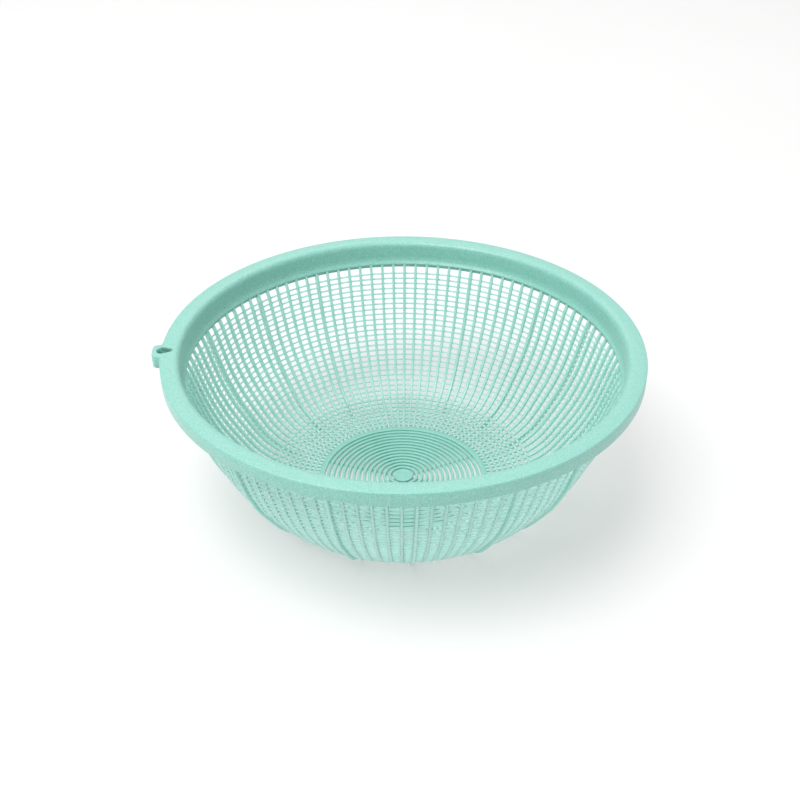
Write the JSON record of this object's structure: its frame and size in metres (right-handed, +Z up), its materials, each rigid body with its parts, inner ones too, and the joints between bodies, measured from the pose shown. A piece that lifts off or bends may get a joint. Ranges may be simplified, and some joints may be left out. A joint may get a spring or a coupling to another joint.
{
  "type": "draining basket",
  "caption": "Round one-piece plastic draining basket: hollow rim with hanging lug, open wall of ribs and hoops, ringed flat base on small feet.",
  "frame": {"origin": "on the basket's axis, in the plane its feet rest on", "axes": "+Z up along the basket's axis to the open rim, -X out through the hanging lug, +Y completes a right-handed frame"},
  "size_m": [0.2748, 0.27, 0.097],
  "materials": {
    "speckled_rim": "semi-matte moulded polypropylene, mint green with a fine pale and grey speckle",
    "mint_mesh": "semi-matte moulded polypropylene, mint green, slightly translucent where thin",
    "mint_base": "semi-matte moulded polypropylene, mint green"
  },
  "bodies": {
    "root": {"base_band": "mint_base", "base_disc": "mint_base", "base_grille": "mint_base", "floor_hoop_01": "mint_mesh", "floor_hoop_02": "mint_mesh", "floor_hoop_03": "mint_mesh", "floor_hoop_04": "mint_mesh", "floor_hoop_05": "mint_mesh", "floor_hoop_06": "mint_mesh", "floor_hoop_07": "mint_mesh", "floor_hoop_08": "mint_mesh", "hanging_lug": "speckled_rim", "hoop_01": "mint_mesh", "hoop_02": "mint_mesh", "hoop_03": "mint_mesh", "hoop_04": "mint_mesh", "hoop_05": "mint_mesh", "hoop_06": "mint_mesh", "hoop_07": "mint_mesh", "hoop_08": "mint_mesh", "hoop_09": "mint_mesh", "hoop_10": "mint_mesh", "hoop_11": "mint_mesh", "hoop_12": "mint_mesh", "hoop_13": "mint_mesh", "hoop_14": "mint_mesh", "hoop_15": "mint_mesh", "hoop_16": "mint_mesh", "hoop_17": "mint_mesh", "hoop_18": "mint_mesh", "hoop_19": "mint_mesh", "hoop_20": "mint_mesh", "hoop_21": "mint_mesh", "hoop_22": "mint_mesh", "hoop_23": "mint_mesh", "hoop_24": "mint_mesh", "hoop_25": "mint_mesh", "main_rib_01": "mint_mesh", "main_rib_02": "mint_mesh", "main_rib_03": "mint_mesh", "main_rib_04": "mint_mesh", "main_rib_05": "mint_mesh", "main_rib_06": "mint_mesh", "main_rib_07": "mint_mesh", "main_rib_08": "mint_mesh", "main_rib_09": "mint_mesh", "main_rib_10": "mint_mesh", "main_rib_11": "mint_mesh", "main_rib_12": "mint_mesh", "main_rib_13": "mint_mesh", "main_rib_14": "mint_mesh", "main_rib_15": "mint_mesh", "main_rib_16": "mint_mesh", "rib_cage": "mint_mesh", "rim": "speckled_rim", "upper_band": "speckled_rim"}
  },
  "joints": []
}
